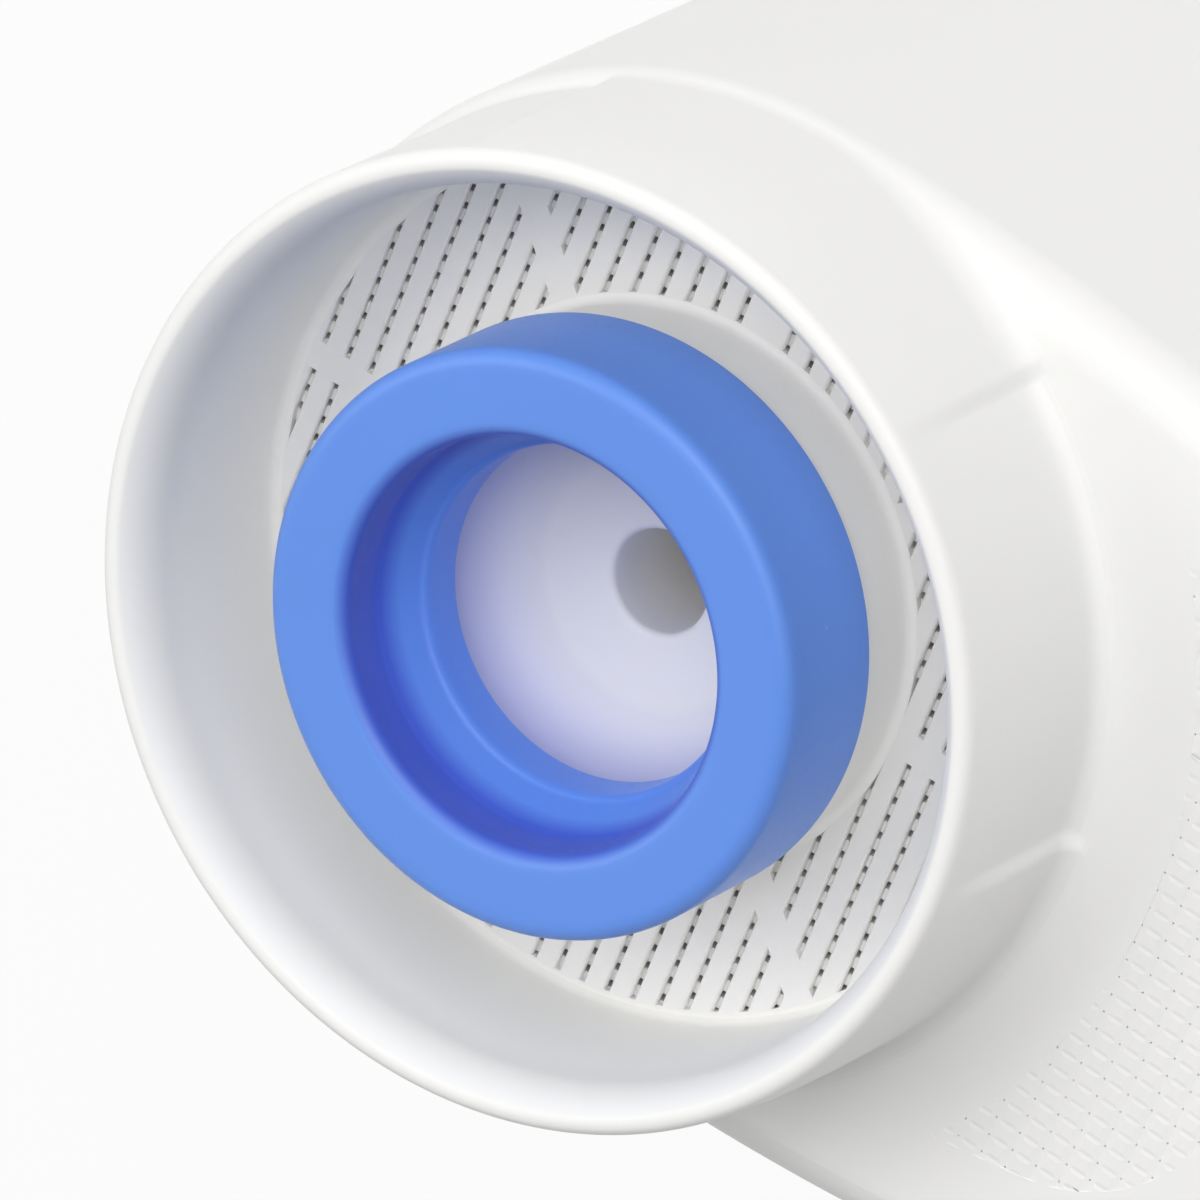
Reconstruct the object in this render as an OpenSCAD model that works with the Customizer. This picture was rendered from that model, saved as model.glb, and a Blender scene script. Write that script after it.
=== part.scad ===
// Oval water filter cartridge that stands in a coffee machine's tank, in millimetres.
// A white moulded housing has a round collar at one end of its oval. Inside the collar
// a blue sealing ring sits on the outlet seat and grips the tank's outlet spigot, and a
// ring of crossed grooves lets the water in. Z = 0 is the flat closed end, +Z points out
// of the collar, and the collar, the ring, the seat and the riser share the Z axis.

/* [Heights] */
// Height from the closed end to the face round the collar
body_h = 72; // [56:0.5:90]
// Height of the collar above that face
collar_h = 12; // [10.5:0.5:16]
// Thickness of the end cap's plate
cap_t = 2.4; // [2:0.1:3.2]

/* [Oval outline] */
// How far the oval's end stands out past the collar it runs round
end_ledge = 0.7; // [0.6:0.1:3.8]
// Radius of the long, nearly straight sides
side_r = 125; // [90:5:200]
// Distance from the collar axis to where the oval is widest
widest_x = 6; // [2:0.5:10]
// Radius of the two corners at the far end
corner_r = 16.8; // [14:0.2:18]
// Radius of the flat bow of the far end
far_r = 42; // [30:1:60]
// Distance from the collar axis to the far end
far_x = 44.4; // [43:0.2:54]

/* [Housing] */
// Wall of the housing at its face
wall = 1.6; // [1.2:0.1:2.2]
// Thickness of the face
face_t = 2; // [1.8:0.1:2.4]
// Rounding of the shoulder between face and wall
shoulder_r = 2.6; // [2.4:0.1:3.2]
// How much the wall leans out from the face down to the closed end
draft = 0.4; // [0.2:0.1:0.8]
// Rounding of the closed end's edge
cap_edge_r = 1.5; // [0.8:0.1:1.7]

/* [Collar] */
// Outer radius of the collar
collar_r = 24.1; // [23.8:0.1:24.4]
// Inner radius of the collar
collar_bore_r = 22; // [21.4:0.1:22.4]
// Depth of the rounded lead-in inside the rim
lead_in_h = 2.4; // [1.5:0.1:3]
// Rounding of the rim's outer edge
rim_r = 0.6; // [0.3:0.1:0.8]
// How far the collar's root flares out between the relief windows
flare = 0.3; // [0.1:0.05:0.5]
// Fillet between the collar's root and the face
root_r = 2.6; // [1.5:0.1:3.5]
// Angle at which the first relief window starts
relief_start = 2; // [0:1:20]
// Angle that each relief window spans
relief_span = 55; // [30:1:80]
// Number of relief windows round the collar
relief_count = 3; // [2:1:4]

/* [Sieves] */
// Thickness of both sieve plates
sieve_t = 1.2; // [1:0.1:1.5]
// Pitch of the grooves that show from outside
groove_pitch = 1.4; // [1.3:0.05:1.8]
// Pitch of the crossing grooves behind them, which is the pitch of the holes
hole_pitch = 1.02; // [0.9:0.02:1.4]
// Width of the grooves that show from outside
groove_w = 0.4; // [0.3:0.05:0.6]
// Width of the crossing grooves
hole_w = 0.35; // [0.3:0.05:0.5]
// Outer radius of the inlet sieve's mesh
mesh_r = 21.4; // [20.6:0.1:21.5]
// Number of spokes across the inlet sieve
spoke_count = 8; // [6:1:10]
// Width of each spoke
spoke_w = 1.5; // [1:0.1:2]
// Distance from the oval's edge to the second sieve's mesh
window_margin = 6.5; // [6:0.1:8]
// Radius about the collar axis at which the second sieve's mesh starts
window_r = 29.4; // [29:0.2:32]
// Plain rim round each sieve's mesh
sieve_rim = 0.6; // [0.4:0.05:0.8]

/* [Sealing ring] */
// How far the sealing ring stands out past the seat under it
seal_ledge = 0.7; // [0.2:0.1:1.2]
// Height of the sealing ring above its seat
seal_h = 7.5; // [6.5:0.1:8]
// How far the sealing ring stands proud of the rim
seal_proud = 0.15; // [0:0.05:0.6]
// Radius of the bore that takes the spigot
spigot_r = 10.2; // [9.8:0.1:10.6]
// Radius inside the grip bead at the ring's back
bead_r = 8.6; // [8:0.1:9]
// Height of the grip bead's lip above the ring's back
bead_h = 2.6; // [1.5:0.1:3]
// Height of the slope from that lip up to the bore
bead_rise = 2.1; // [1.5:0.1:2.4]
// Rounding of the bore's mouth
mouth_r = 0.8; // [0.5:0.1:1]
// Rounding of the ring's outer front edge
seal_edge_r = 0.8; // [0.5:0.1:1.2]
// Depth of the foot that locks the ring into its seat
foot_h = 1.6; // [1:0.1:2]
// Thickness of that foot
foot_t = 1.5; // [1:0.1:1.8]

/* [Outlet seat and riser] */
// Radius of the seat under the sealing ring
seat_r = 13.8; // [13.5:0.1:13.9]
// Depth of the bowl inside the seat
bowl_h = 4.6; // [4:0.1:5]
// Radius of the bowl at its mouth
bowl_r = 9.5; // [9:0.1:9.8]
// Radius of the outlet hole
outlet_r = 2.6; // [2:0.1:3]
// Outer radius of the seat's stem
stem_r = 4.2; // [3.9:0.1:4.6]
// Length of the seat's stem
stem_l = 9; // [6:0.5:14]
// Wall of the riser tube
riser_t = 1.3; // [1:0.1:1.8]
// Height of the inlet notches at the riser's foot
notch_h = 5.5; // [4:0.5:5.5]

/* [Filling] */
// Space between the end cap's plate and the lower fleece
collect_h = 6; // [6:0.5:10]
// Thickness of both fleece pads
fleece_t = 4; // [2:0.5:6]
// Space between the upper fleece and the face
spread_h = 2; // [1.5:0.5:4]

/* [Hidden] */
$fn = 96;
white = [0.94, 0.94, 0.93];
cream = [0.88, 0.88, 0.86];
blue = [0.38, 0.57, 0.93];
felt = [0.80, 0.81, 0.80];
resin = [0.62, 0.46, 0.26];

// clearance between pieces that push together, and the overlap that joins a body's own parts
slip = 0.05;
lap = 0.5;

end_r = collar_r + end_ledge;
rim_z = body_h + collar_h;
face_in_z = body_h - face_t;
sieve_z = body_h - sieve_t;
seal_z = rim_z + seal_proud - seal_h;
flange_z = sieve_z - sieve_t;
fleece_z = cap_t + collect_h;
bed_z = fleece_z + fleece_t;
bed_top = face_in_z - spread_h - fleece_t;
riser_r = stem_r + slip + riser_t;
hub_r = seat_r + lap;
seal_r = seat_r + seal_ledge;
foot_r = (bowl_r + seat_r - foot_t) / 2;

// small breaks and roundings, and the inner parts of the end cap
seam = 0.3;
hole_edge = 0.4;
bead_edge = 0.4;
foot_edge_r = 0.3;
plug_h = 3.6;
plug_t = 1.2;
rib_t = 1.2;
rib_pitch = 11;
rib_gap = 2;
socket_h = 2.5;
notch_w = 2.4;
hug_in = 6;
hug_gap = 0.1;
hug_a = 50;

// The oval is six arcs that run into each other on shared normals: the end round the
// collar, two sides, two corners and the far end. Each is [centre, radius, from, to].
side_lean = asin(widest_x / (side_r - end_r));
side_c = [widest_x, -(side_r - end_r) * cos(side_lean)];
far_c = [far_x - far_r, 0];
reach = norm(far_c - side_c);
along = (pow(side_r - corner_r, 2) - pow(far_r - corner_r, 2) + reach * reach) / (2 * reach);
across = sqrt(pow(side_r - corner_r, 2) - along * along);
toward = (far_c - side_c) / reach;
corner_c = side_c + along * toward + across * [toward.y, -toward.x];
end_a = 90 + side_lean;
side_a = atan2(corner_c.y - side_c.y, corner_c.x - side_c.x);
far_a = atan2(corner_c.y - far_c.y, corner_c.x - far_c.x);
ARCS = [[[0, 0], end_r, end_a, 360 - end_a],
        [[side_c.x, -side_c.y], side_r, -end_a, -side_a],
        [[corner_c.x, -corner_c.y], corner_r, -side_a, -far_a],
        [far_c, far_r, -far_a, far_a],
        [corner_c, corner_r, far_a, side_a],
        [side_c, side_r, side_a, end_a]];

function ray(a) = [cos(a), sin(a)];
function arc_point(arc, a, inset) = arc[0] + (arc[1] - inset) * ray(a);

// moves to p in two steps, because a place is written out with six digits only
module at(p) {
    coarse = [round(p.x * 100) / 100, round(p.y * 100) / 100];
    translate(coarse) translate(p - coarse) children();
}

// what lies between the two normals that an arc shares with its neighbours, from depth
// inside the oval's edge outwards
module wedge(arc, depth) {
    out = 1.3 * end_r * ray((arc[2] + arc[3]) / 2);
    from = arc_point(arc, arc[2], -lap);
    to = arc_point(arc, arc[3], -lap);
    polygon([arc_point(arc, arc[2], depth), from, from + out, to + out, to,
             arc_point(arc, arc[3], depth)]);
}

// the oval as a flat shape, drawn in from its edge by inset
module oval(inset) {
    polygon([for (arc = ARCS) arc_point(arc, arc[2], inset + lap)]);
    for (arc = ARCS) intersection() {
        at(arc[0]) circle(arc[1] - inset, $fn = 360);
        wedge(arc, inset + 2 * lap);
    }
}

// carries a section round the whole oval: its x = 0 is the oval's edge, its y is height,
// and it reaches in from the edge by less than depth
module round_oval(depth) {
    for (arc = ARCS) intersection() {
        at(arc[0]) rotate_extrude($fn = 360) translate([arc[1], 0]) children();
        translate([0, 0, -lap]) linear_extrude(rim_z + 2 * lap) wedge(arc, depth);
    }
}

// a quarter disc about c that rounds the corner of a section towards (sx, sy)
module round_corner(c, r, sx, sy) {
    translate(c) intersection() {
        circle(r);
        translate([sx > 0 ? 0 : -r - lap, sy > 0 ? 0 : -r - lap]) square(r + lap);
    }
}

module box2(x0, x1, y0, y1) {
    translate([x0, y0]) square([x1 - x0, y1 - y0]);
}

// Housing

// section of the wall with its rounded shoulder and the start of the face
module wall_section() {
    shoulder_in = shoulder_r + 2 * lap;
    polygon([[-wall, cap_t], [draft - seam, cap_t], [draft, cap_t + seam],
             [0, body_h - shoulder_r], [-shoulder_r, body_h], [-shoulder_in, body_h],
             [-shoulder_in, face_in_z], [-wall, face_in_z]]);
    round_corner([-shoulder_r, body_h - shoulder_r], shoulder_r, 1, 1);
}

module face() {
    translate([0, 0, face_in_z]) linear_extrude(face_t) oval(shoulder_r + lap);
}

module collar() {
    rotate_extrude() {
        box2(mesh_r, collar_r, face_in_z, rim_z - rim_r);
        box2(mesh_r, collar_r - rim_r, rim_z - rim_r - lap, rim_z);
        round_corner([collar_r - rim_r, rim_z - rim_r], rim_r, 1, 1);
    }
}

// the collar's flared root, which stands on the face or, where that is too narrow, on the
// shoulder
module root() {
    root_x = collar_r + flare;
    rotate_extrude()
        polygon([[collar_bore_r + lap, face_in_z], [root_x, face_in_z],
                 [root_x, body_h + root_r], [collar_r + flare / 3, rim_z - 4 * rim_r],
                 [collar_r - lap, rim_z - 2 * rim_r], [collar_bore_r + lap, rim_z - 2 * rim_r]]);
}

// the fillet from the root onto the face, sunk a little so that it cuts both cleanly
module root_fillet() {
    x = collar_r + flare + root_r - slip;
    rotate_extrude() difference() {
        box2(collar_r, x, face_in_z, body_h + root_r - slip);
        translate([x, body_h + root_r - slip]) circle(root_r);
    }
}

// The fillet keeps inside this section, which carries the shoulder's slope on upwards, so
// that the wall runs into the collar where the oval hugs it.
module hug() {
    floor_z = body_h - shoulder_r;
    tip = [-shoulder_r * (1 - cos(hug_a)), body_h - shoulder_r * (1 - sin(hug_a))]
          - hug_gap * ray(hug_a);
    round_oval(hug_in + lap)
        polygon([[-hug_in, floor_z], [tip.x, floor_z], tip,
                 [-hug_in, tip.y + (hug_in + tip.x) / tan(hug_a)]]);
    translate([0, 0, floor_z]) linear_extrude(rim_z - floor_z) oval(hug_in - lap);
}

module relief() {
    for (k = [0 : relief_count - 1])
        rotate([0, 0, relief_start + k * 360 / relief_count]) rotate_extrude(angle = relief_span)
            box2(collar_r - lap, collar_r + flare + root_r + lap, face_in_z - lap, rim_z);
}

module collar_bore() {
    lead_r = 1.25 * lead_in_h;
    lead_z = rim_z - lead_in_h;
    rotate_extrude() {
        box2(0, collar_bore_r, sieve_z, lead_z);
        difference() {
            box2(0, collar_bore_r + lead_r, lead_z, rim_z + lap);
            translate([collar_bore_r + lead_r, lead_z]) circle(lead_r);
        }
        box2(0, mesh_r, face_in_z - lap, sieve_z);
    }
}

// outline of the second sieve, grown past its mesh by grow
module window(grow) {
    difference() {
        oval(window_margin - grow);
        circle(window_r - grow);
    }
}

module housing() {
    color(white) difference() {
        union() {
            round_oval(shoulder_r + 3 * lap) wall_section();
            face();
            collar();
            difference() {
                union() {
                    root();
                    intersection() {
                        root_fillet();
                        hug();
                    }
                }
                relief();
            }
        }
        collar_bore();
        translate([0, 0, sieve_z]) linear_extrude(sieve_t + lap) window(sieve_rim + slip);
        translate([0, 0, face_in_z - lap]) linear_extrude(face_t) window(0);
    }
}

// End cap

module cap_section() {
    polygon([[-shoulder_r, 0], [draft - cap_edge_r, 0], [draft, cap_edge_r],
             [draft, cap_t - seam], [draft - seam, cap_t], [-shoulder_r, cap_t]]);
    round_corner([draft - cap_edge_r, cap_edge_r], cap_edge_r, 1, -1);
}

// the ring that plugs into the housing
module plug() {
    translate([0, 0, cap_t - lap]) linear_extrude(plug_h + lap) difference() {
        oval(wall + 2 * slip);
        oval(wall + 2 * slip + plug_t);
    }
}

// ribs that hold the lower fleece up off the plate, clear of the riser and grown into its
// socket
module cap_ribs() {
    translate([0, 0, cap_t - lap]) linear_extrude(collect_h + lap) difference() {
        intersection() {
            oval(wall + plug_t + rib_gap);
            for (y = [-3, -1, 1, 3]) translate([-end_r, y * rib_pitch / 2 - rib_t / 2])
                square([end_r + far_x, rib_t]);
        }
        circle(riser_r + slip + rib_t / 2);
    }
}

module riser_socket() {
    rotate_extrude() box2(riser_r + slip, riser_r + slip + rib_t, cap_t - lap, cap_t + socket_h);
}

module end_cap() {
    color(white) {
        round_oval(shoulder_r + lap) cap_section();
        linear_extrude(cap_t) oval(shoulder_r - lap);
        plug();
        cap_ribs();
        riser_socket();
    }
}

// Sieves

module bars(pitch, w, from, to, length) {
    for (k = [ceil(from / pitch) : floor(to / pitch)])
        translate([k * pitch - w / 2, -length / 2]) square([w, length]);
}

// A plate with grooves along Y in its face and along X behind, each a little deeper than
// half the plate, so that a hole opens wherever two of them cross.
// children(0) is the plate and children(1) the part of it that is mesh.
module sieve(x0, x1, y1) {
    groove_d = sieve_t / 2 + slip;
    difference() {
        linear_extrude(sieve_t) children(0);
        translate([0, 0, sieve_t - groove_d]) linear_extrude(groove_d + lap) intersection() {
            children(1);
            bars(groove_pitch, groove_w, x0, x1, 3 * y1);
        }
        translate([0, 0, -lap]) linear_extrude(groove_d + lap) intersection() {
            children(1);
            rotate(90) bars(hole_pitch, hole_w, -y1, y1, 3 * x1);
        }
    }
}

module ring_mesh() {
    difference() {
        circle(mesh_r);
        circle(hub_r);
        for (k = [0 : spoke_count - 1]) rotate(k * 360 / spoke_count)
            translate([0, -spoke_w / 2]) square([mesh_r + lap, spoke_w]);
    }
}

module inlet_sieve() {
    color(cream) translate([0, 0, sieve_z]) sieve(-mesh_r, mesh_r, mesh_r) {
        difference() {
            circle(collar_bore_r - slip);
            circle(seat_r + slip);
        }
        ring_mesh();
    }
}

module window_sieve() {
    color(cream) translate([0, 0, sieve_z]) sieve(end_r, far_x - window_margin, end_r) {
        window(sieve_rim);
        window(0);
    }
}

// Sealing ring

module seal_section() {
    top = rim_z + seal_proud;
    lip_z = seal_z + bead_h;
    polygon([[bead_r, seal_z], [seal_r - foot_edge_r, seal_z], [seal_r, seal_z + foot_edge_r],
             [seal_r, top - seal_edge_r], [seal_r - seal_edge_r, top], [spigot_r + mouth_r, top],
             [spigot_r, top - mouth_r], [spigot_r, lip_z + bead_rise],
             [bead_r + bead_edge, lip_z], [bead_r, lip_z - bead_edge]]);
    round_corner([spigot_r + mouth_r, top - mouth_r], mouth_r, -1, 1);
    round_corner([seal_r - seal_edge_r, top - seal_edge_r], seal_edge_r, 1, 1);
    round_corner([seal_r - foot_edge_r, seal_z + foot_edge_r], foot_edge_r, 1, -1);
    box2(foot_r, foot_r + foot_t, seal_z - foot_h, seal_z + lap);
}

module seal_ring() {
    color(blue) rotate_extrude() seal_section();
}

// Outlet seat and riser

module bowl_section() {
    floor_z = seal_z - bowl_h;
    rise = 0.4;
    fillet = 3.2;
    polygon([[0, floor_z], [outlet_r + hole_edge, floor_z], [bowl_r - fillet, floor_z + rise],
             [bowl_r, floor_z + rise + fillet], [bowl_r, seal_z + lap], [0, seal_z + lap]]);
    round_corner([bowl_r - fillet, floor_z + rise + fillet], fillet, 1, -1);
    polygon([[0, floor_z - hole_edge], [outlet_r, floor_z - hole_edge],
             [outlet_r + hole_edge, floor_z], [0, floor_z + lap]]);
    box2(0, outlet_r, flange_z - stem_l - lap, floor_z - hole_edge);
}

module outlet_seat() {
    floor_z = seal_z - bowl_h;
    color(white) rotate_extrude() difference() {
        union() {
            box2(0, seat_r, flange_z, seal_z);
            box2(0, hub_r + lap, flange_z, sieve_z);
            box2(0, stem_r, flange_z - stem_l, flange_z + lap);
        }
        bowl_section();
        box2(foot_r - slip, foot_r + foot_t + slip, seal_z - foot_h - slip, seal_z + lap);
        box2(riser_r + lap, seat_r - wall, flange_z - lap, floor_z - wall);
    }
}

module riser_tube() {
    color(cream) difference() {
        rotate_extrude() box2(stem_r + slip, riser_r, cap_t, flange_z);
        for (k = [0, 1]) rotate([0, 0, 45 + 90 * k])
            translate([-notch_w / 2, -2 * riser_r, cap_t - lap]) cube([notch_w, 4 * riser_r, notch_h + lap]);
    }
}

// Filling

module filling(from, to) {
    translate([0, 0, from]) linear_extrude(to - from) difference() {
        oval(wall + slip);
        circle(riser_r + slip);
    }
}

module lower_fleece() {
    color(felt) filling(fleece_z, bed_z);
}

module resin_bed() {
    color(resin) filling(bed_z, bed_top);
}

module upper_fleece() {
    color(felt) filling(bed_top, bed_top + fleece_t);
}

housing();
end_cap();
inlet_sieve();
window_sieve();
seal_ring();
outlet_seat();
riser_tube();
upper_fleece();
resin_bed();
lower_fleece();
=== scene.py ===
"""Water filter cartridge of a coffee machine's tank: the visual model over its fixed frame."""

import math

import bmesh
import bpy
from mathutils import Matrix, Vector


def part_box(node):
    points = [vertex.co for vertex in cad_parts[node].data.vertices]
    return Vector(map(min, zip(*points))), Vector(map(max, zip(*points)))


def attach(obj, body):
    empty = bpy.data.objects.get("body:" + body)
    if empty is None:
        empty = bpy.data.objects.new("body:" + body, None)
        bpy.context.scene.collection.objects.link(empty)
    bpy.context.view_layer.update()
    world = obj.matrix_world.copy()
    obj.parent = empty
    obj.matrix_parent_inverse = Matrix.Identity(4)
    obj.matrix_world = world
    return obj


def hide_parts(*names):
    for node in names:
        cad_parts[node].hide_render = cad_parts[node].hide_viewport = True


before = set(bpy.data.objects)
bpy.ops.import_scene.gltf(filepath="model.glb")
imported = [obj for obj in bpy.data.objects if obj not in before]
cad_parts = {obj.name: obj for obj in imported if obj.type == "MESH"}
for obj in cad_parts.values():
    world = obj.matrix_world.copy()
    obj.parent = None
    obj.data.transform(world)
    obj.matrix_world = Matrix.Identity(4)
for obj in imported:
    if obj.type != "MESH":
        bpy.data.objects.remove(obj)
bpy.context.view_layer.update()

bl_info = {
    "name": "Water filter cartridge",
    "version": (1, 0, 0),
    "blender": (4, 5, 0),
    "location": "3D View > Sidebar > Filter",
    "description": "Models the skin and the finish of an oval water filter cartridge",
    "category": "Object",
}

MM = 0.001
TAU = 2 * math.pi

# heights in millimetres that the frame gives
RIM_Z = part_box("housing")[1].z / MM
FACE_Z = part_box("inlet_sieve")[1].z / MM
SIEVE_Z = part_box("inlet_sieve")[0].z / MM
CAP_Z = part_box("housing")[0].z / MM
SEAL_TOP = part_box("seal_ring")[1].z / MM


# Sizes and colours


def length(name, description, size):
    """A size in the sidebar, written here in millimetres."""
    return bpy.props.FloatProperty(name=name, description=description, default=size * MM,
                                   min=0, precision=5, unit="LENGTH", subtype="DISTANCE")


def colour(name, description, rgb):
    return bpy.props.FloatVectorProperty(name=name, description=description, default=rgb,
                                         size=3, min=0, max=1, subtype="COLOR")


def share(name, description, value):
    return bpy.props.FloatProperty(name=name, description=description, default=value,
                                   min=0, max=1, subtype="FACTOR")


class HousingSizes(bpy.types.PropertyGroup):
    wall: length("Wall", "Thickness of the housing's wall", 1.6)
    shoulder: length("Shoulder", "Rounding between the face and the wall", 2.6)
    draft: length("Draft", "How far the wall leans out down to the end cap", 0.39)
    collar: length("Collar radius", "Outer radius of the collar in its relief windows", 24.1)
    bore: length("Collar bore", "Inner radius of the collar", 22.0)
    flare: length("Flare", "How far the collar stands out between the windows", 0.36)
    fillet: length("Root fillet", "Radius of the blend between collar and shoulder", 2.4)
    face_fillet: length("Face fillet", "Radius of that blend where it stands on the face", 1.2)
    window_fillet: length("Window fillet", "Radius of that blend inside a relief window", 1.0)
    rim: length("Rim rounding", "Rounding of the rim's outer edge", 0.6)
    lead_in: length("Lead-in", "Depth of the rounded lead-in inside the rim", 2.4)


class SieveSizes(bpy.types.PropertyGroup):
    groove_pitch: length("Groove pitch", "Pitch of the grooves seen from outside", 1.4)
    hole_pitch: length("Hole pitch", "Pitch of the crossing slots behind", 1.02)
    groove: length("Groove width", "Width of the inlet sieve's grooves below their lips", 0.26)
    hole: length("Slot width", "Width of the inlet sieve's crossing slots", 0.38)
    depth: length("Groove depth", "Depth of the inlet sieve's grooves", 0.4)
    lip: length("Lip", "Rounding of the inlet sieve's groove edges", 0.15)
    mesh_r: length("Mesh radius", "Outer radius of the inlet sieve's mesh", 21.4)
    hub_r: length("Hub radius", "Radius of the plain band round the seat", 14.3)
    spoke: length("Spoke width", "Width of each of the eight spokes", 1.5)
    window_hole: length("Second holes", "Width of the second sieve's small holes", 0.1)
    window_depth: length("Second groove depth", "Depth of the second sieve's faint grooves", 0.05)
    window_groove: length("Second groove width", "Width of those grooves at the face", 0.8)
    window_margin: length("Margin", "From the oval's edge to the second sieve's field", 6.5)
    window_r: length("Field radius", "Radius at which the second sieve's field starts", 29.4)


class SealSizes(bpy.types.PropertyGroup):
    outer: length("Outer radius", "Outer radius of the sealing ring", 14.5)
    bore: length("Bore radius", "Radius that grips the outlet spigot", 10.2)
    bead: length("Bead radius", "Radius inside the grip bead at the back", 8.6)
    edge: length("Edge rounding", "Rounding of the outer front edge", 0.8)
    mouth: length("Mouth rounding", "Rounding of the bore's mouth", 0.8)


class Finish(bpy.types.PropertyGroup):
    shell: colour("Shell", "Colour of the housing and its end cap", (0.93, 0.93, 0.925))
    sieve: colour("Sieves", "Colour of the crossed-groove sieves", (0.92, 0.91, 0.89))
    seat: colour("Seat", "Colour of the outlet seat and the riser tube", (0.93, 0.92, 0.895))
    seal: colour("Seal", "Colour of the sealing ring", (0.13, 0.3, 0.85))
    fleece: colour("Fleece", "Colour of the felt pads", (0.8, 0.81, 0.8))
    resin: colour("Resin", "Colour of the filter grains", (0.62, 0.46, 0.26))
    gloss: share("Gloss", "How smooth the moulded white plastic is", 0.5)


# Outline of the oval, in millimetres: Each arc is centre, radius, from, to in degrees

END_R, SIDE_R, CORNER_R, FAR_R = 24.8, 125.0, 16.8, 42.0
WIDEST_X, FAR_X = 6.0, 44.4
FLAT_A = 55

side_lean = math.asin(WIDEST_X / (SIDE_R - END_R))
SIDE_C = Vector((WIDEST_X, -(SIDE_R - END_R) * math.cos(side_lean)))
FAR_C = Vector((FAR_X - FAR_R, 0))
reach = (FAR_C - SIDE_C).length
along = ((SIDE_R - CORNER_R) ** 2 - (FAR_R - CORNER_R) ** 2 + reach ** 2) / (2 * reach)
across = math.sqrt((SIDE_R - CORNER_R) ** 2 - along ** 2)
toward = (FAR_C - SIDE_C) / reach
CORNER_C = SIDE_C + along * toward + across * Vector((toward.y, -toward.x))
END_A = 90 + math.degrees(side_lean)


def ray(a):
    return Vector((math.cos(math.radians(a)), math.sin(math.radians(a))))


def bearing(v):
    return math.degrees(math.atan2(v.y, v.x))


SIDE_A = bearing(CORNER_C - SIDE_C)
CORNER_A = bearing(CORNER_C - FAR_C)
UPPER_ARCS = [(FAR_C, FAR_R, -CORNER_A, CORNER_A), (CORNER_C, CORNER_R, CORNER_A, SIDE_A),
              (SIDE_C, SIDE_R, SIDE_A, END_A)]


def cast(a, inset=0):
    """Where the ray at azimuth a meets the upper half of the oval, drawn in by inset."""
    u = ray(a)
    for centre, radius, start, end in UPPER_ARCS:
        r = radius - inset
        b = u.dot(centre)
        reach2 = b * b - centre.dot(centre) + r * r
        if reach2 < 0:
            continue
        p = u * (b + math.sqrt(reach2))
        if start - 1e-6 <= bearing(p - centre) <= end + 1e-6:
            return p, (p - centre).normalized()
    raise ValueError("the oval has no edge at azimuth %.2f" % a)


# Modelling helpers


def deselect():
    if bpy.context.object and bpy.context.object.mode != "OBJECT":
        bpy.ops.object.mode_set(mode="OBJECT")
    bpy.ops.object.select_all(action="DESELECT")


def only(piece):
    deselect()
    piece.select_set(True)
    bpy.context.view_layer.objects.active = piece


def place_ring(piece, ring):
    """Puts the selected ring of corners on the ring's points, both in order of azimuth."""
    mesh = bmesh.from_edit_mesh(piece.data)
    corners = sorted((v for v in mesh.verts if v.select),
                     key=lambda v: math.atan2(v.co.y, v.co.x) % TAU)
    for corner, point in zip(corners, ring):
        corner.co = Vector(point) * MM
    bmesh.update_edit_mesh(piece.data)


def loft(name, rings):
    """A closed skin through rings of points: a circle is extruded from ring to ring."""
    deselect()
    bpy.ops.mesh.primitive_circle_add(vertices=len(rings[0]), radius=20 * MM, fill_type="NOTHING")
    piece = bpy.context.object
    piece.name = piece.data.name = name
    bpy.ops.object.mode_set(mode="EDIT")
    bpy.ops.mesh.select_all(action="SELECT")
    place_ring(piece, rings[0])
    for ring in rings[1:]:
        bpy.ops.mesh.extrude_edges_move(TRANSFORM_OT_translate={"value": (0, 0, MM)})
        place_ring(piece, ring)
    bpy.ops.mesh.select_all(action="DESELECT")
    bpy.ops.mesh.select_non_manifold()
    bpy.ops.mesh.bridge_edge_loops()
    bpy.ops.mesh.select_all(action="SELECT")
    bpy.ops.mesh.normals_make_consistent(inside=False)
    bpy.ops.object.mode_set(mode="OBJECT")
    return piece


def turn(name, profile, steps=256):
    """A profile of radius and height turned about the collar's axis."""
    around = [ray((k + 0.5) * 360 / steps) for k in range(steps)]
    return loft(name, [[(r * u.x, r * u.y, z) for u in around] for r, z in profile])


def arc(x, z, r, start, end, steps):
    """Points of a rounding about (x, z), from one angle in degrees to the other."""
    angles = [math.radians(start + (end - start) * k / steps) for k in range(steps + 1)]
    return [(x + r * math.cos(a), z + r * math.sin(a)) for a in angles]


def prism(name, outline, low, high):
    """A closed block of a flat outline between two heights."""
    deselect()
    bpy.ops.mesh.primitive_circle_add(vertices=len(outline), radius=20 * MM, fill_type="NOTHING")
    block = bpy.context.object
    block.name = block.data.name = name
    bpy.ops.object.mode_set(mode="EDIT")
    mesh = bmesh.from_edit_mesh(block.data)
    mesh.verts.ensure_lookup_table()
    corner, edge = mesh.verts[0], mesh.verts[0].link_edges[0]
    for x, y in outline:
        corner.co = Vector((x, y, low)) * MM
        corner = edge.other_vert(corner)
        edge = [e for e in corner.link_edges if e is not edge][0]
    bmesh.update_edit_mesh(block.data)
    bpy.ops.mesh.select_all(action="SELECT")
    bpy.ops.mesh.edge_face_add()
    bpy.ops.mesh.extrude_region_move(
        TRANSFORM_OT_translate={"value": (0, 0, (high - low) * MM)})
    bpy.ops.mesh.select_all(action="SELECT")
    bpy.ops.mesh.normals_make_consistent(inside=False)
    bpy.ops.object.mode_set(mode="OBJECT")
    return block


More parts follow.
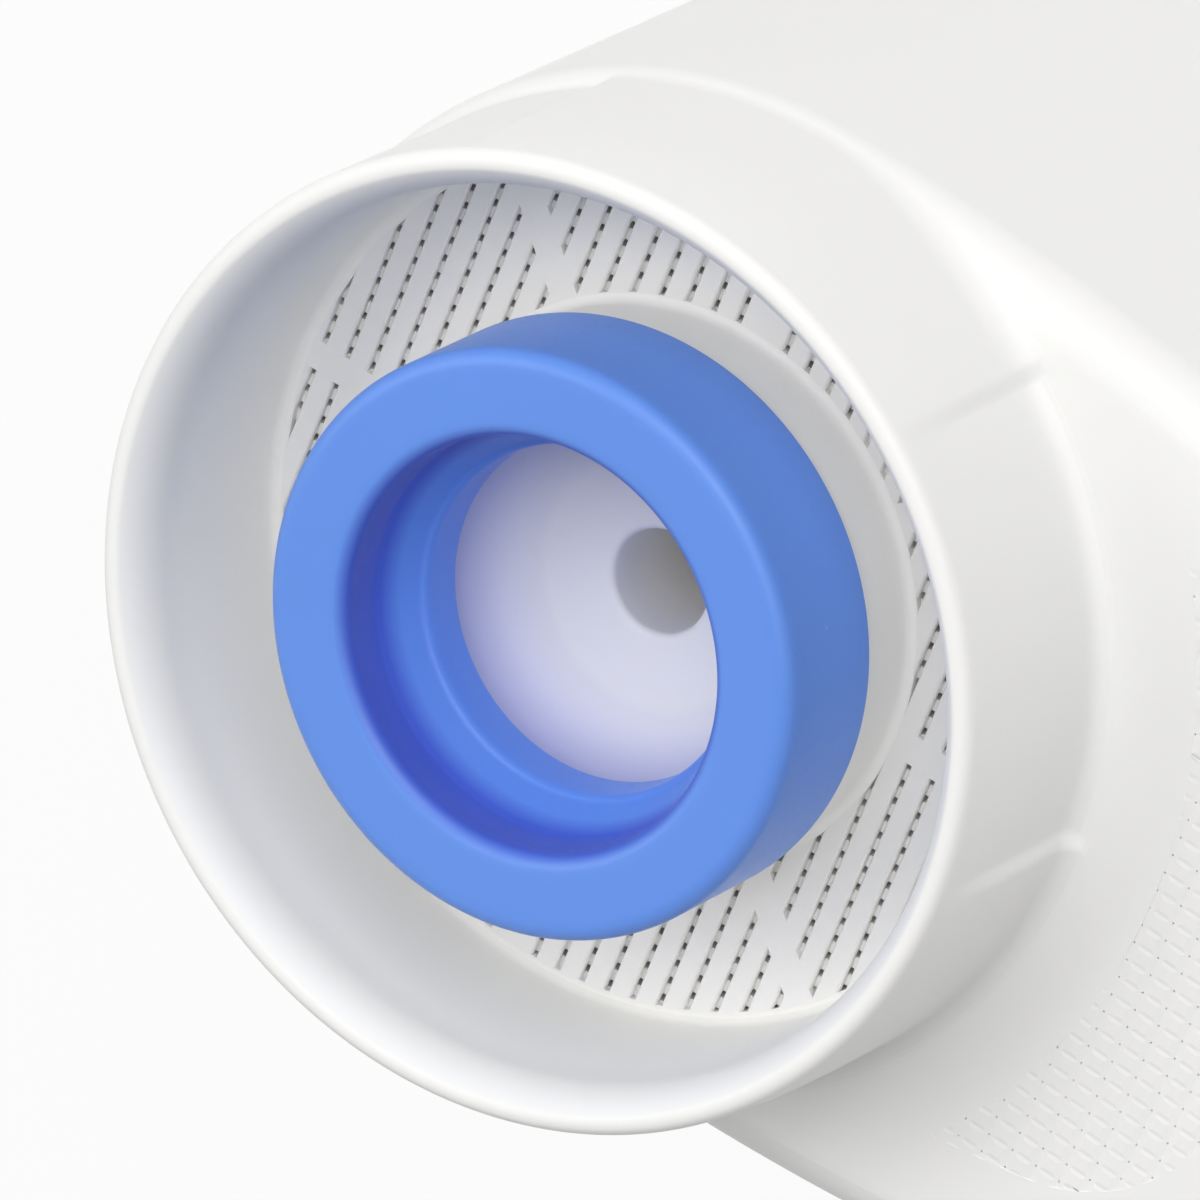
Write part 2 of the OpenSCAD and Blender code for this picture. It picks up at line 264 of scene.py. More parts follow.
def boolean(piece, tool, operation="DIFFERENCE", keep=False):
    only(piece)
    cut = piece.modifiers.new("Cut", "BOOLEAN")
    cut.operation, cut.solver, cut.object = operation, "EXACT", tool
    bpy.ops.object.modifier_apply(modifier=cut.name)
    if not keep:
        bpy.data.objects.remove(tool)


def comb(name, across, pitch, count, reach, section, middle=0):
    """A row of equal bars about middle: one is drawn from level to level of its section of
    half widths and heights, and the rest are its copies."""
    deselect()
    start = middle - pitch * (count - 1) / 2
    centre = Vector((start * across[0], start * across[1], 0)) * MM
    wide, z = section[0]
    bpy.ops.mesh.primitive_plane_add(size=2 * MM, location=centre + Vector((0, 0, z * MM)))
    bars = bpy.context.object
    bars.name = bars.data.name = name
    bpy.ops.object.transform_apply(location=True, rotation=False, scale=False)
    bpy.ops.object.mode_set(mode="EDIT")
    bpy.ops.mesh.select_all(action="SELECT")
    size = (wide, reach, 1) if across[0] else (reach, wide, 1)
    bpy.ops.transform.resize(value=size, center_override=centre)
    for w, level in section[1:]:
        bpy.ops.mesh.extrude_region_move(
            TRANSFORM_OT_translate={"value": (0, 0, (level - z) * MM)})
        size = (w / wide, 1, 1) if across[0] else (1, w / wide, 1)
        bpy.ops.transform.resize(value=size, center_override=centre)
        wide, z = w, level
    bpy.ops.mesh.select_all(action="SELECT")
    bpy.ops.mesh.normals_make_consistent(inside=False)
    bpy.ops.object.mode_set(mode="OBJECT")
    row = bars.modifiers.new("Row", "ARRAY")
    row.count, row.use_relative_offset, row.use_constant_offset = count, False, True
    row.constant_offset_displace = (pitch * across[0] * MM, pitch * across[1] * MM, 0)
    bpy.ops.object.modifier_apply(modifier=row.name)
    return bars


def cut_grooves(piece, field, sizes):
    """Cuts soft-lipped grooves along Y and crossing slots behind them, which open a small
    hole at each crossing, wherever the field's block reaches."""
    half, lip, depth = sizes.groove / MM / 2, sizes.lip / MM, sizes.depth / MM
    lips = [(half + lip, FACE_Z + 0.04)]
    lips += [(half + lip * (1 - math.sqrt(1 - (1 - f) ** 2)), FACE_Z - f * lip)
             for f in (0.05, 0.2, 0.5, 1)]
    lips.append((half - 0.005, FACE_Z - depth))
    slot = sizes.hole / MM / 2
    slots = [(slot, SIEVE_Z - 1.5), (slot, FACE_Z - 0.7 * depth)]
    for across, pitch, count, section in (((1, 0), sizes.groove_pitch / MM, 31, lips),
                                          ((0, 1), sizes.hole_pitch / MM, 43, slots)):
        bars = comb("bars", across, pitch, count, 30, section)
        boolean(bars, field(), "INTERSECT")
        boolean(piece, bars)


def cut_faint(piece, field, sizes):
    """Cuts the second sieve: a faint lattice of shallow grooves with tiny holes."""
    half, depth = sizes.window_groove / MM / 2, sizes.window_depth / MM
    hole = sizes.window_hole / MM / 2
    pitch, hole_pitch = sizes.groove_pitch / MM, sizes.hole_pitch / MM
    rows = (((1, 0), pitch, 14, 1, 21.5 * pitch), ((0, 1), hole_pitch, 37, 0.5, 0))
    for across, step, count, scale, middle in rows:
        bars = comb("bars", across, step, count, 45,
                    [(1.5 * half * scale, FACE_Z + depth * scale / 2),
                     (0.02, FACE_Z - depth * scale)], middle)
        boolean(bars, field(), "INTERSECT")
        boolean(piece, bars)
    holes, rails = [comb("bars", across, step, count, 45,
                         [(hole, SIEVE_Z - 3), (hole, FACE_Z + 1)], middle)
                    for across, step, count, scale, middle in rows]
    boolean(holes, rails, "INTERSECT")
    boolean(holes, field(), "INTERSECT")
    boolean(piece, holes)


def crease_face(piece):
    """Keeps the flat face flat up to each edge of the lattice cut into it."""
    mesh = bmesh.new()
    mesh.from_mesh(piece.data)
    for edge in mesh.edges:
        near = all(abs(v.co.z - FACE_Z * MM) < 0.1 * MM for v in edge.verts)
        if near and edge.calc_face_angle(0) > 0.004:
            edge.smooth = False
    mesh.to_mesh(piece.data)
    mesh.free()


def finish_piece(piece, material, slot, *nodes, angle=30):
    """Smooths a finished piece, gives it its material and hands it to the frame."""
    only(piece)
    bpy.ops.object.shade_smooth_by_angle(angle=math.radians(angle))
    if slot == "shell_white":
        crease_face(piece)
    even = piece.modifiers.new("Even", "WEIGHTED_NORMAL")
    even.keep_sharp = True
    bpy.ops.object.modifier_apply(modifier=even.name)
    piece.data.materials.clear()
    piece.data.materials.append(material)
    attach(piece, "root")
    if nodes:
        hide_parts(*nodes)


def dress(node, material):
    """Gives a frame node that stays in view its finish."""
    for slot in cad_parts[node].material_slots:
        slot.material = material


# Shader maths


class Wire:
    """A shader socket that can be added, taken away and multiplied."""

    def __init__(self, tree, socket):
        self.tree, self.socket = tree, socket

    def node(self, kind, settings=None, **sockets):
        """Adds a node: its settings first, then the values or wires of its sockets."""
        made = self.tree.nodes.new(kind)
        for name, value in (settings or {}).items():
            if name == "ramp":
                stops = made.color_ramp.elements
                while len(stops) < len(value):
                    stops.new(0.5)
                for stop, (place, rgb) in zip(stops, value):
                    stop.position, stop.color = place, (*rgb, 1)
            else:
                setattr(made, name, value)
        for name, value in sockets.items():
            key = int(name[1:]) if name[1:].isdigit() else name.replace("_", " ")
            if isinstance(value, Wire):
                self.tree.links.new(value.socket, made.inputs[key])
            else:
                made.inputs[key].default_value = value
        return made

    def maths(self, operation, first, second):
        made = self.node("ShaderNodeMath", {"operation": operation}, _0=first, _1=second)
        return Wire(self.tree, made.outputs[0])

    def __add__(self, other):
        return self.maths("ADD", self, other)

    def __sub__(self, other):
        return self.maths("SUBTRACT", self, other)

    def __rsub__(self, other):
        return self.maths("SUBTRACT", other, self)

    def __mul__(self, other):
        return self.maths("MULTIPLY", self, other)

    def __gt__(self, other):
        return self.maths("GREATER_THAN", self, other)

    def clip(self, low, high):
        """Spreads the range from low to high over 0 to 1 and holds its ends."""
        made = self.node("ShaderNodeMapRange", {"clamp": True}, Value=self, _1=low, _2=high)
        return Wire(self.tree, made.outputs[0])

    def axes(self):
        made = self.node("ShaderNodeSeparateXYZ", _0=self)
        return [Wire(self.tree, socket) for socket in made.outputs]

    __radd__, __rmul__ = __add__, __mul__


def new_material(name):
    """A material with its shader and a wire of the piece's own coordinates."""
    material = bpy.data.materials.new(name)
    material.use_nodes = True
    tree = material.node_tree
    shader = tree.nodes["Principled BSDF"]
    place = tree.nodes.new("ShaderNodeTexCoord")
    return material, shader, Wire(tree, place.outputs["Object"])


def noise(place, scale, detail=2.0, roughness=0.5):
    made = place.node("ShaderNodeTexNoise", Vector=place, Scale=scale, Detail=detail,
                      Roughness=roughness)
    return Wire(place.tree, made.outputs["Fac"])


def blend_colours(place, factor, first, second):
    first, second = [c if isinstance(c, Wire) else (*c, 1) for c in (first, second)]
    made = place.node("ShaderNodeMix", {"data_type": "RGBA"}, Factor=factor, _6=first, _7=second)
    return Wire(place.tree, made.outputs[2])


def feed(shader, place, **sockets):
    for name, wire in sockets.items():
        place.tree.links.new(wire.socket, shader.inputs[name.replace("_", " ")])


def bump(place, height, distance, strength=1.0):
    made = place.node("ShaderNodeBump", Strength=strength, Distance=distance, Height=height)
    return Wire(place.tree, made.outputs[0])


def darker(rgb, by):
    return tuple(c * by for c in rgb)


def moulded(name, rgb, gloss, inner, start, end, back=1.0, peel=1.0):
    """Moulded white plastic: a soft sheen, faint flow marks and a fine eroded grain. It
    takes the inner colour, which is painted light and shade, from one radius about the
    collar's axis to another, and loses it again beyond the radius back."""
    material, shader, place = new_material(name)
    cloud = noise(place, 55, 1.0)
    grain = noise(place, 2600, 0.0)
    flow = noise(place, 240, 0.0)
    x, y, z = place.axes()
    square = x * x + y * y
    # Zone of the inner colour: painted shade on the seat and the sieve, a painted warm tint against
    # bounced blue light on the shell
    inside = square.clip(start ** 2, end ** 2) * square.clip(back ** 2, (back - 0.0003) ** 2)
    skin = blend_colours(place, inside, rgb, inner)
    feed(shader, place, Base_Color=blend_colours(place, cloud.clip(0.3, 0.7) * 0.015, skin, (0,) * 3),
         Roughness=(1 - gloss) + 0.06 * (cloud - 0.5) + 0.05 * (grain - 0.5),
         Normal=bump(place, 0.4 * grain + flow, 0.00002 * peel, 0.5))
    shader.inputs["IOR"].default_value = 1.49
    return material


def soft_rubber(name, rgb, bore):
    """Silicone: slightly see-through, with painted shade in its bore, dust specks and a silky skin.
    """
    material, shader, place = new_material(name)
    cloud = noise(place, 90, 1.0)
    grain = noise(place, 3400, 0.0)
    dust = place.node("ShaderNodeTexVoronoi", {"feature": "F1"}, Vector=place, Scale=420.0)
    speck = 1 - Wire(place.tree, dust.outputs["Distance"]).clip(0.035, 0.07)
    rare = noise(place, 130, 1.0).clip(0.6, 0.62)
    x, y, z = place.axes()
    square = x * x + y * y
    # Painted shade: the bore's wall turns darker and more violet, and the shade is mostly lifted
    # again inside the bead
    bead = square.clip((bore - 0.0002) ** 2, (bore - 0.0007) ** 2)
    painted_bore_shade = square.clip((bore + 0.0006) ** 2, bore ** 2) * (1 - 0.9 * bead)
    skin = blend_colours(place, painted_bore_shade, rgb, (0.5 * rgb[0], 0.42 * rgb[1], 0.75 * rgb[2]))
    tint = blend_colours(place, 0.04 * cloud.clip(0.3, 0.7), skin, (0,) * 3)
    feed(shader, place,
         Base_Color=blend_colours(place, 0.35 * (speck * rare), tint, (0.8, 0.86, 0.97)),
         Roughness=0.38 + 0.1 * (grain - 0.5) + 0.06 * (cloud - 0.5),
         Normal=bump(place, 0.5 * grain + cloud, 0.00002, 0.5))
    shader.inputs["IOR"].default_value = 1.42
    shader.inputs["Subsurface Weight"].default_value = 0.15
    shader.inputs["Subsurface Radius"].default_value = (0.5, 0.6, 1.0)
    shader.inputs["Subsurface Scale"].default_value = 0.0018
    return material


def felt(name, rgb):
    """Needled fleece: crossed fibres over a soft, matt ground."""
    material, shader, place = new_material(name)
    warp = place.node("ShaderNodeMapping", Vector=place, Scale=(900.0, 160.0, 900.0))
    weft = place.node("ShaderNodeMapping", Vector=place, Scale=(160.0, 900.0, 900.0))
    fibres = (noise(Wire(place.tree, warp.outputs[0]), 1.0, 3.0)
              + noise(Wire(place.tree, weft.outputs[0]), 1.0, 3.0))
    feed(shader, place,
         Base_Color=blend_colours(place, fibres.clip(0.7, 1.3), darker(rgb, 0.82), rgb),
         Roughness=0.9 - 0.05 * fibres, Normal=bump(place, fibres, 0.0002, 0.8))
    return material


def grains(name, rgb):
    """Packed filter grains, each a little lighter or darker."""
    material, shader, place = new_material(name)
    cells = place.node("ShaderNodeTexVoronoi", {"feature": "F1"}, Vector=place, Scale=1400.0)
    depth = Wire(place.tree, cells.outputs["Distance"])
    tone = noise(place, 700, 1.0)
    feed(shader, place,
         Base_Color=blend_colours(place, tone.clip(0.35, 0.65), darker(rgb, 0.72), rgb),
         Roughness=0.5 + 0.3 * depth, Normal=bump(place, 1 - depth, 0.0003, 0.9))
    return material


# Housing


def inset_under(q, half):
    """How far inside the oval's edge a plan point near the azimuth half lies, and the
    edge's outward normal there."""
    if half >= END_A:
        return END_R - q.length, q.normalized()
    if half >= FLAT_A:
        return SIDE_R - (q - SIDE_C).length, (q - SIDE_C).normalized()
    return 99.0, q.normalized()


def skin_height(q, half, shoulder):
    """Height of the face or of its shoulder over a plan point."""
    inset = min(inset_under(q, half)[0], shoulder)
    return FACE_Z - shoulder + math.sqrt(shoulder ** 2 - (shoulder - inset) ** 2)


def roll_ball(u, half, skin, radius, shoulder):
    """A ball rolled along the collar over the shoulder or the face: its plan place, its
    height, the angle at which it touches the shoulder and the plan point of that touch."""
    ball = u * (skin + radius)
    inset, out = inset_under(ball, half)
    if inset >= shoulder:
        return ball, FACE_Z + radius, 90.0, ball
    spring = FACE_Z - shoulder
    z = spring + math.sqrt((shoulder + radius) ** 2 - (shoulder - inset) ** 2)
    a = math.atan2(z - spring, shoulder - inset)
    return ball, z, math.degrees(a), ball + (inset - shoulder * (1 - math.cos(a))) * out


def fillet_rows(ball, ball_z, touch, touch_z, u, radius, steps):
    """Points of the fillet that the ball leaves, from its touch up to the collar."""
    start = Vector((touch.x - ball.x, touch.y - ball.y, touch_z - ball_z)).normalized()
    end = Vector((-u.x, -u.y, 0))
    sweep = start.angle(end)
    for k in range(1, steps + 1):
        f = k / steps
        way = (math.sin((1 - f) * sweep) * start + math.sin(f * sweep) * end) / math.sin(sweep)
        yield Vector((ball.x + radius * way.x, ball.y + radius * way.y, ball_z + radius * way.z))


def smooth(f):
    f = min(1, max(0, f))
    return f * f * (3 - 2 * f)


def root_fillet(half, sizes):
    """Radius of the root's fillet: small on the face, wide where the collar hugs the oval."""
    small, wide = sizes.face_fillet / MM, sizes.fillet / MM
    return small + (wide - small) * smooth((half - 45) / 35)


def housing_column(a, relief, sizes):
    """The housing's section at azimuth a, from its foot over the rim and back inside.
    relief runs from 0 between the collar's windows to 1 inside one."""
    half = a if a <= 180 else 360 - a
    shoulder, fillet = sizes.shoulder / MM, root_fillet(half, sizes)
    small = sizes.window_fillet / MM
    collar, bore, wall = sizes.collar / MM, sizes.bore / MM, sizes.wall / MM
    draft, rim, lead = sizes.draft / MM, sizes.rim / MM, sizes.lead_in / MM
    root = collar + sizes.flare / MM
    u = ray(half)
    ball, ball_z, touch_a, touch = roll_ball(u, half, root, fillet, shoulder)
    if half >= END_A:
        edge, out = END_R * u, u
    elif half >= FLAT_A:
        out = (ball - SIDE_C).normalized()
        edge = SIDE_C + SIDE_R * out
    else:
        last = ray(FLAT_A) * (root + root_fillet(FLAT_A, sizes))
        turn_a = bearing(SIDE_C + SIDE_R * (last - SIDE_C).normalized())
        edge, out = cast(half * turn_a / FLAT_A)
    rows = []

    def put(plan, z):
        rows.append((plan.x, plan.y, z))

    # foot, wall
    spring = FACE_Z - shoulder
    put(edge + (draft - 0.3) * out, CAP_Z)
    for z in (CAP_Z + 0.3, CAP_Z + 0.8, 12, 24, 36, 48, 58, 65, 68, spring):
        put(edge + draft * (spring - z) / (spring - CAP_Z - 0.3) * out, z)

    # shoulder and face, up to the ball's touch
    brow = edge - shoulder * out
    flat = 4 * min(1, (touch - brow).length / 1.5) if touch_a == 90 else 0
    round_rows = touch_a / 9
    for k in range(1, 15):
        step = (round_rows + flat) * k / 14
        if not flat or step <= round_rows:
            b = math.radians(step * 9)
            put(edge - shoulder * (1 - math.cos(b)) * out, spring + shoulder * math.sin(b))
        else:
            part = 4 * (step - round_rows) / flat
            stops = (0, 0.04, 0.5, 0.96, 1)
            low = min(int(part), 3)
            f = stops[low] + (stops[low + 1] - stops[low]) * (part - low)
            put(brow.lerp(touch, f), FACE_Z)

    # root: a wide fillet between the relief windows, a small one inside them
    wide = list(fillet_rows(ball, ball_z, touch, rows[-1][2], u, fillet, 8))
    nook, nook_z, _, near = roll_ball(u, half, collar, small, shoulder)
    tight = [Vector((*touch.lerp(near, f), skin_height(touch.lerp(near, f), half, shoulder)))
             for f in (0.5, 0.95)]
    tight += fillet_rows(nook, nook_z, near, skin_height(near, half, shoulder), u, small, 5)
    tight.append(Vector((*(u * collar), max(ball_z, nook_z + 0.3))))
    for p, q in zip(wide, tight):
        q = p.lerp(q, relief)
        put(Vector((q.x, q.y)), q.z)

    # collar, rim, lead-in and bore
    skin = root + (collar - root) * relief
    low, high = FACE_Z + fillet + 0.5, RIM_Z - rim - 0.3
    for f, fade in ((0, 0), (0.25, 0.04), (0.5, 0.14), (0.75, 0.38), (1, 1)):
        put(u * (skin + (collar - skin) * fade), low + (high - low) * f)
    lead_r = 1.25 * lead
    section = arc(collar - rim, RIM_Z - rim, rim, 0, 90, 6)
    section += [(bore + 1.42, RIM_Z), (bore + 1.25, RIM_Z - 0.015), (bore + 1.12, RIM_Z - 0.07)]
    section += arc(bore + lead_r, RIM_Z - lead, lead_r, 131, 180, 7)
    section += [(bore, z) for z in (RIM_Z - lead - 0.6, 79, 76, FACE_Z + 0.9)]
    section += arc(bore - 0.5, FACE_Z + 0.51, 0.5, 0, -90, 4)
    section += [(bore - 0.5, FACE_Z - 0.1), (bore, FACE_Z - 0.3), (bore, SIEVE_Z),
                (bore - 0.6, SIEVE_Z), (bore - 0.6, FACE_Z - 2)]
    for r, z in section:
        put(u * r, z)

    # underside of the face and the inner wall
    inner = edge - wall * out
    put((u * (bore - 0.6)).lerp(inner, 0.5), FACE_Z - 2)
    for z in (FACE_Z - 2, 46, 22, CAP_Z):
        put(inner, z)
    return [(x, y if a <= 180 else -y, z) for x, y, z in rows]


def window_outline(margin, radius):
    """Outline of the second sieve's field: the oval drawn in by margin, less the collar."""
    low, high = 20.0, 60.0
    while high - low > 1e-6:
        middle = (low + high) / 2
        if cast(middle, margin)[0].length > radius:
            low = middle
        else:
            high = middle
    tip = low
    far = [cast(tip * k / 48, margin)[0] for k in range(49)]
    near = [ray(tip * k / 24) * radius for k in range(23, -1, -1)]
    upper = [(p.x, p.y) for p in far + near]
    return upper + [(x, -y) for x, y in upper[-2:0:-1]]


class FILTER_OT_shell(bpy.types.Operator):
    """Model the white housing with its shoulder, its collar and the second sieve's field"""
    bl_idname = "filter.shell"
    bl_label = "Housing"

    def execute(self, context):
        sizes = context.scene.filter_housing
        reliefs = [(2 + 120 * k, 57 + 120 * k) for k in range(3)]
        edges = [a for relief in reliefs for a in relief]
        steps = (-1.6, -1.2, -0.8, -0.4, 0, 0.4, 0.8, 1.2, 1.6)
        azimuths = [(k + 0.5) * 1.25 for k in range(288)]
        azimuths = [a for a in azimuths if min(abs(a - e) for e in edges) > 2]
        azimuths += [e + step for e in edges for step in steps]
        columns = []
        for a in sorted(azimuths):
            depth = max(min(a - low, high - a) for low, high in reliefs)
            columns.append(housing_column(a, smooth(0.5 + depth / 2.4), sizes))
        shell = loft("shell", list(zip(*columns)))
        sieve = context.scene.filter_sieve
        outline = window_outline(sieve.window_margin / MM, sieve.window_r / MM)
        cut_faint(shell, lambda: prism("field", outline, SIEVE_Z - 2, FACE_Z + 0.5), sieve)
        finish = context.scene.filter_finish
        red, green, blue = finish.shell
        # Painted light: inside the collar's bore the white turns a little warmer and less blue, which
        # cancels the blue light that the seal throws on that wall
        skin = moulded("shell white", finish.shell, finish.gloss, (red + 0.015, green, blue - 0.05),
                       sizes.bore + 0.6 * MM, sizes.bore + 0.1 * MM)
        finish_piece(shell, skin, "shell_white", "housing", "window_sieve")
        return {"FINISHED"}


# Sealing ring and its seat


class FILTER_OT_seal(bpy.types.Operator):
    """Turn the soft blue sealing ring with its mouth, bead and foot"""
    bl_idname = "filter.seal"
    bl_label = "Sealing ring"

    def execute(self, context):
        sizes = context.scene.filter_seal
        outer, bore, bead = sizes.outer / MM, sizes.bore / MM, sizes.bead / MM
        edge, mouth = sizes.edge / MM, sizes.mouth / MM
        top, back = SEAL_TOP, SEAL_TOP - 7.5
        lip = back + 2.6
        profile = arc(outer - 0.25, back + 0.25, 0.25, -90, 0, 4)
        profile += [(outer, back + 2.5), (outer, top - edge - 0.6)]
        profile += arc(outer - edge, top - edge, edge, 0, 90, 8)
        profile += [(outer - edge - 0.3, top), (bore + mouth + 0.3, top - 0.02)]
        profile += arc(bore + mouth, top - 0.04 - mouth, mouth, 84, 180, 8)
        profile += [(bore, top - 1.1), (bore, lip + 2.3), (bore - 0.08, lip + 2.05)]
        profile += [(bead + 0.42, lip + 0.12), (bead + 0.22, lip - 0.04), (bead + 0.06, lip - 0.22),
                    (bead, lip - 0.45), (bead, back + 0.5), (bead, back), (10.9, back),
                    (10.9, back - 1.6), (12.4, back - 1.6), (12.4, back)]
        ring = turn("seal", profile, 288)
        finish_piece(ring, soft_rubber("seal blue", context.scene.filter_finish.seal, sizes.bore),
                     "seal_blue", "seal_ring")
        return {"FINISHED"}


class FILTER_OT_seat(bpy.types.Operator):
    """Turn the outlet seat: its boss, its bowl with the outlet hole and its stem"""
    bl_idname = "filter.seat"
    bl_label = "Outlet seat"

    def execute(self, context):
        back = SEAL_TOP - 7.5
        flange = SIEVE_Z - 1.2
        floor = back - 4.6
        profile = [(2.6, flange - 9), (2.6, floor - 1.5)]
        profile += arc(3.0, floor - 0.4, 0.4, 180, 90, 5)
        profile += [(6.2, floor + 0.4)] + arc(6.3, floor + 3.6, 3.2, -90, 0, 12)
        profile += [(9.5, back - 0.3)] + arc(9.8, back - 0.3, 0.3, 180, 90, 3)
        profile += [(10.85, back), (10.85, back - 1.65), (12.45, back - 1.65), (12.45, back)]
        profile += arc(13.5, back - 0.3, 0.3, 90, 0, 3)
        profile += [(13.8, back - 2), (13.8, FACE_Z + 0.9)]
        profile += arc(14.25, FACE_Z + 0.46, 0.45, 180, 270, 4)
        profile += [(14.25, FACE_Z - 0.1), (13.8, FACE_Z - 0.3), (13.8, SIEVE_Z)]
        profile += [(14.8, SIEVE_Z), (14.8, flange), (12.2, flange), (12.2, floor - 1.6),
                    (6.05, floor - 1.6), (6.05, flange), (4.2, flange), (4.2, flange - 9)]
        seat = turn("seat", profile, 256)
        finish = context.scene.filter_finish
        red, green, blue = finish.seat
        # Painted shade: the bowl's wall under the seal's bead turns darker and bluish from 6 mm out
        # to 9.4 mm, and plain again beyond 9.9 mm
        skin = moulded("seat white", finish.seat, finish.gloss - 0.05,
                       (0.5 * red, 0.53 * green, 0.8 * blue), 6 * MM, 9.4 * MM, 9.9 * MM)
        finish_piece(seat, skin, "seat_white", "outlet_seat")
        return {"FINISHED"}


# Sieves and the pieces inside


def ring_field(sizes):
    """The eight sectors that the inlet sieve's grooves may fill."""
    hub, mesh_r = sizes.hub_r / MM, sizes.mesh_r / MM
    low, high = SIEVE_Z - 2, FACE_Z + 1
    block = turn("sectors", [(hub, low), (mesh_r, low), (mesh_r, high), (hub, high)], 192)
    for k in range(4):
        half = sizes.spoke / MM / 2
        spoke = comb("spoke", (1, 0), 1, 1, 40, [(half, low - 1), (half, high + 1)])
        only(spoke)
        spoke.rotation_euler.z = math.radians(45 * k)
        bpy.ops.object.transform_apply(location=False, rotation=True, scale=False)
        boolean(block, spoke)
    return block


class FILTER_OT_sieves(bpy.types.Operator):
    """Model the inlet sieve with its crossed grooves and eight spokes"""
    bl_idname = "filter.sieves"
    bl_label = "Inlet sieve"

    def execute(self, context):
        sizes = context.scene.filter_sieve
        bore = context.scene.filter_housing.bore / MM
        plate = turn("sieve", [(13.75, SIEVE_Z), (bore + 0.02, SIEVE_Z), (bore + 0.02, FACE_Z),
                               (13.75, FACE_Z)], 256)
        cut_grooves(plate, lambda: ring_field(sizes), sizes)
        finish = context.scene.filter_finish
        # Painted shade: the sieve turns 4% darker towards the hub, at the foot of the seat's boss
        skin = moulded("sieve white", finish.sieve, finish.gloss - 0.1,
                       darker(finish.sieve, 0.96), 16 * MM, 14.4 * MM, peel=1.5)
        finish_piece(plate, skin, "sieve_white", "inlet_sieve")
        return {"FINISHED"}


class FILTER_OT_inside(bpy.types.Operator):
    """Finish the end cap, the riser tube, the fleeces and the resin bed"""
    bl_idname = "filter.inside"
    bl_label = "End cap and filling"

    def execute(self, context):
        finish = context.scene.filter_finish
        dress("end_cap", bpy.data.materials["shell white"])
        dress("riser_tube", bpy.data.materials["seat white"])
        fleece = felt("fleece", finish.fleece)
        dress("upper_fleece", fleece)
        dress("lower_fleece", fleece)
        dress("resin_bed", grains("resin grains", finish.resin))
        return {"FINISHED"}


# Stage


def soft_light(name, target, azimuth, elevation, distance, size, power):
    """A square lamp that looks at target from a bearing in degrees."""
    lamp = bpy.data.lights.new(name, "AREA")
    lamp.shape, lamp.size, lamp.energy = "SQUARE", size, power
    lamp.color = (1, 0.992, 0.975)
    flat, up = ray(azimuth), ray(elevation)
    out = Vector((flat.x * up.x, flat.y * up.x, up.y))
    holder = bpy.data.objects.new(name, lamp)
    holder.location = target + out * distance
    holder.rotation_euler = out.to_track_quat("Z", "Y").to_euler()
    bpy.context.scene.collection.objects.link(holder)


def white_to_eye(wire, light):
    """How much a camera, mirror or transmission ray sees plain white instead of the light."""
    seen = wire.node("ShaderNodeLightPath")
    rays = [Wire(wire.tree, seen.outputs[name]) for name in
            ("Is Camera Ray", "Is Glossy Ray", "Is Transmission Ray")]
    return (rays[0] + rays[1] + rays[2]).clip(0, 1) * light


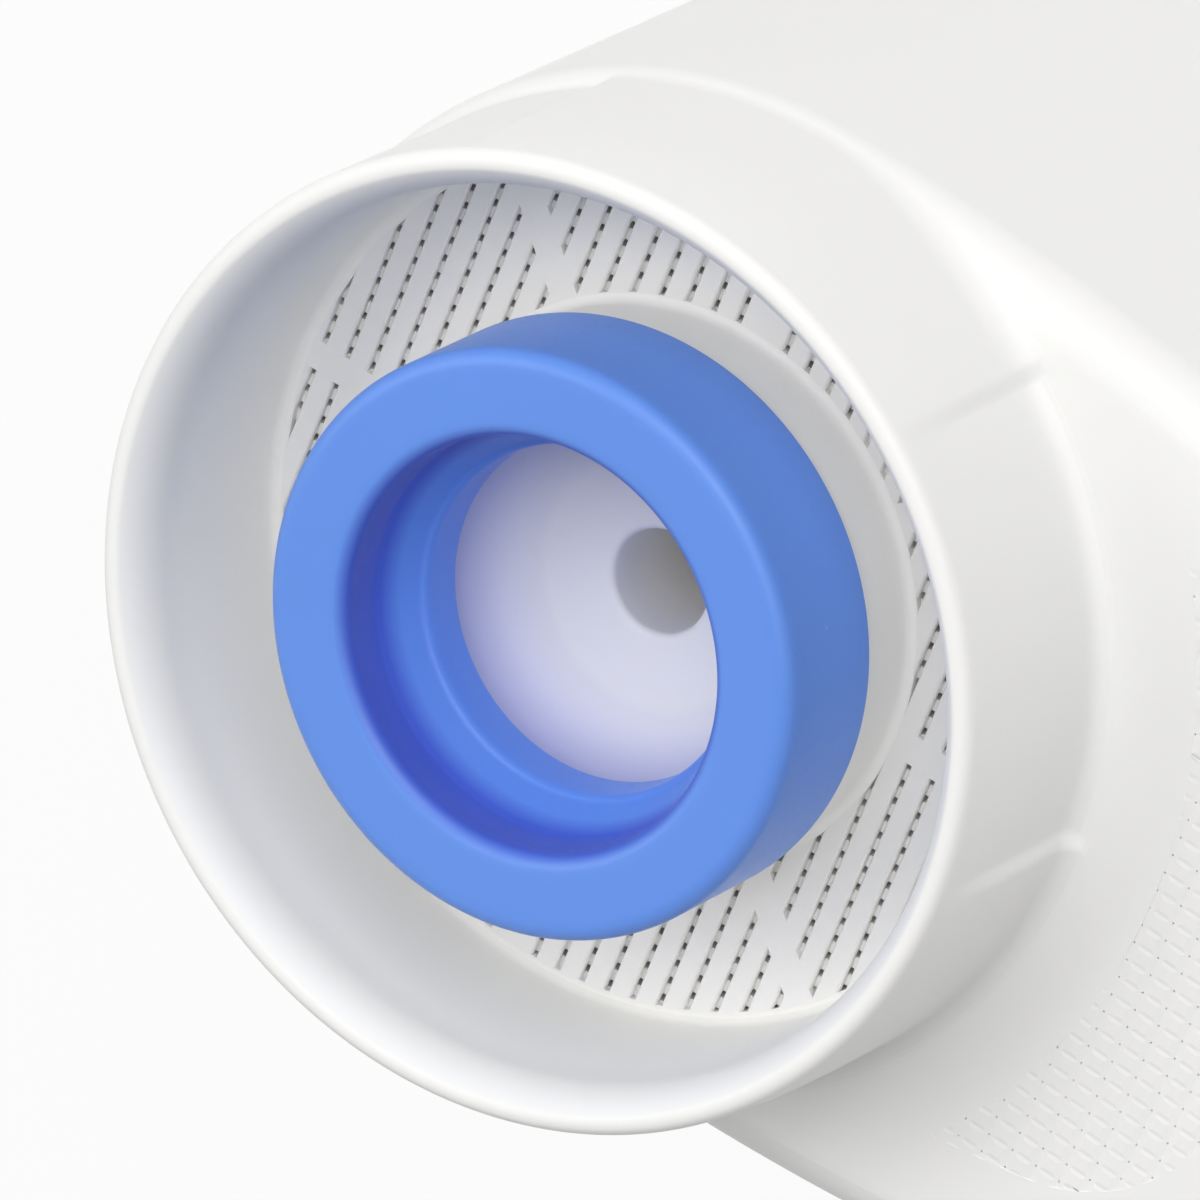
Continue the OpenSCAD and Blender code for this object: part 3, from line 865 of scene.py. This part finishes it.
class FILTER_OT_stage(bpy.types.Operator):
    """Set the pale floor, the soft studio light and the camera"""
    bl_idname = "filter.stage"
    bl_label = "Stage"

    def execute(self, context):
        scene = context.scene
        deselect()
        bpy.ops.mesh.primitive_circle_add(vertices=96, radius=3, fill_type="NGON")
        floor = context.object
        floor.name = "floor"
        material, shader, place = new_material("floor paper")
        tree = place.tree
        shader.inputs["Base Color"].default_value = (0.88, 0.88, 0.88, 1)
        shader.inputs["Roughness"].default_value = 0.9
        glow = place.node("ShaderNodeEmission", Strength=1.0)
        mix = place.node("ShaderNodeMixShader", _0=white_to_eye(place, 0.9),
                         _1=Wire(tree, shader.outputs[0]), _2=Wire(tree, glow.outputs[0]))
        tree.links.new(mix.outputs[0], tree.nodes["Material Output"].inputs["Surface"])
        floor.data.materials.append(material)

        world = bpy.data.worlds.new("studio")
        world.use_nodes = True
        tree = world.node_tree
        sky = tree.nodes["Background"]
        sky.inputs["Color"].default_value = (1, 1, 1, 1)
        wire = Wire(tree, sky.outputs[0])
        level = white_to_eye(wire, 0.81) + 0.19
        tree.links.new(level.socket, sky.inputs["Strength"])
        scene.world = world

        middle = Vector((0.005, 0, 0.07))
        for name, azimuth, power in (("window", 90, 4.0), ("right", 45, 2.3), ("left", 180, 3.1)):
            soft_light(name, middle, azimuth, 50, 0.9, 0.7, power)

        lens = bpy.data.cameras.new("camera")
        lens.lens, lens.sensor_width = 417.788, 36
        lens.shift_x, lens.shift_y = -0.00183919, 0.00394579
        camera = bpy.data.objects.new("camera", lens)
        camera.location = (0.22430244, 0.31449189, 0.61364078)
        camera.rotation_euler = [math.radians(a) for a in (-17.64003, 31.60876, 23.22047)]
        scene.collection.objects.link(camera)
        scene.camera = camera
        scene.view_settings.view_transform = "Standard"
        return {"FINISHED"}


class FILTER_PT_panel(bpy.types.Panel):
    """Steps and sizes of the filter cartridge"""
    bl_idname = "FILTER_PT_panel"
    bl_label = "Water filter"
    bl_space_type = "VIEW_3D"
    bl_region_type = "UI"
    bl_category = "Filter"

    def draw(self, context):
        for step in STEPS:
            self.layout.operator(step.bl_idname)
        for group in GROUPS:
            box = self.layout.box()
            settings = getattr(context.scene, group)
            for name in type(settings).__annotations__:
                box.prop(settings, name)


GROUPS = {"filter_housing": HousingSizes, "filter_sieve": SieveSizes, "filter_seal": SealSizes,
          "filter_finish": Finish}
STEPS = (FILTER_OT_shell, FILTER_OT_seal, FILTER_OT_seat, FILTER_OT_sieves, FILTER_OT_inside,
         FILTER_OT_stage)


def register():
    for cls in (*GROUPS.values(), *STEPS, FILTER_PT_panel):
        bpy.utils.register_class(cls)
    for name, cls in GROUPS.items():
        setattr(bpy.types.Scene, name, bpy.props.PointerProperty(type=cls))


def unregister():
    for name in GROUPS:
        delattr(bpy.types.Scene, name)
    for cls in (FILTER_PT_panel, *STEPS[::-1], *GROUPS.values()):
        bpy.utils.unregister_class(cls)


def main():
    register()
    bpy.ops.filter.shell()
    bpy.ops.filter.seal()
    bpy.ops.filter.seat()
    bpy.ops.filter.sieves()
    bpy.ops.filter.inside()
    bpy.ops.filter.stage()


if __name__ == "__main__":
    main()
